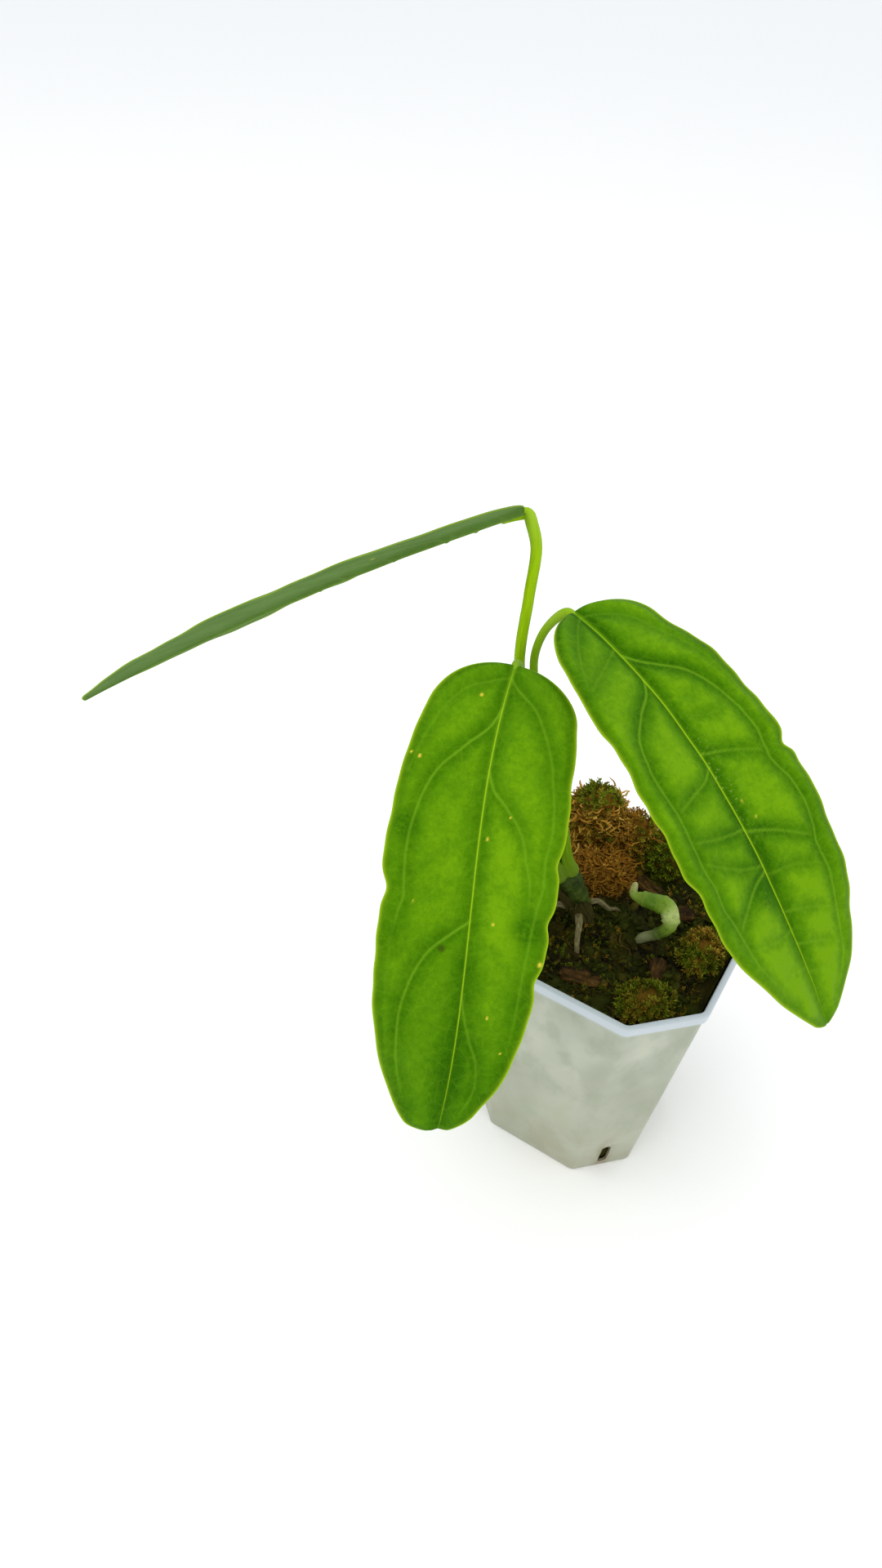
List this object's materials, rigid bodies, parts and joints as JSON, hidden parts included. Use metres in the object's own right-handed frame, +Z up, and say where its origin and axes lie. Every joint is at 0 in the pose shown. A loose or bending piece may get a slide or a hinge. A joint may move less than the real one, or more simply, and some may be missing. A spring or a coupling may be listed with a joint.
{
  "type": "potted monstera plant",
  "caption": "Young monstera with entire oval leaves on long arching stalks, in a deep square translucent nursery pot of bark and moss.",
  "frame": {"origin": "centre of the pot's underside, on the surface it stands on", "axes": "+Z up, the pot's flat sides square to X and Y, its cut corners at 45 degrees between them; the front leaf hangs towards -Y, the right one towards +X and the left one towards -X and -Y"},
  "size_m": [0.2018, 0.1449, 0.2224],
  "materials": {
    "pot_plastic": "translucent, satin",
    "medium": "damp fibrous bark and peat",
    "leaf": "satin, quilted between the veins",
    "stalk": "satin, finely ribbed",
    "stem": "matt, ringed by old leaf bases",
    "shoot": "satin",
    "root": "dry, fuzzy",
    "moss": "leafy, matt",
    "dry_moss": "dry, stringy",
    "bark": "rough, weathered"
  },
  "bodies": {
    "root": {"pot": "pot_plastic", "growing_medium": "medium", "stem": "stem", "young_shoot": "shoot", "petiole_front": "stalk", "leaf_front": "leaf", "petiole_right": "stalk", "leaf_right": "leaf", "petiole_left": "stalk", "leaf_left": "leaf", "root_1": "root", "root_2": "root", "root_3": "root", "moss_rear": "moss", "moss_rear_right": "moss", "moss_dry": "dry_moss", "moss_right": "moss", "moss_front_corner": "moss", "moss_front_left": "moss", "moss_left": "moss", "bark_chip_1": "bark", "bark_chip_2": "bark", "bark_chip_3": "bark", "bark_chip_4": "bark", "bark_chip_5": "bark"}
  },
  "joints": []
}
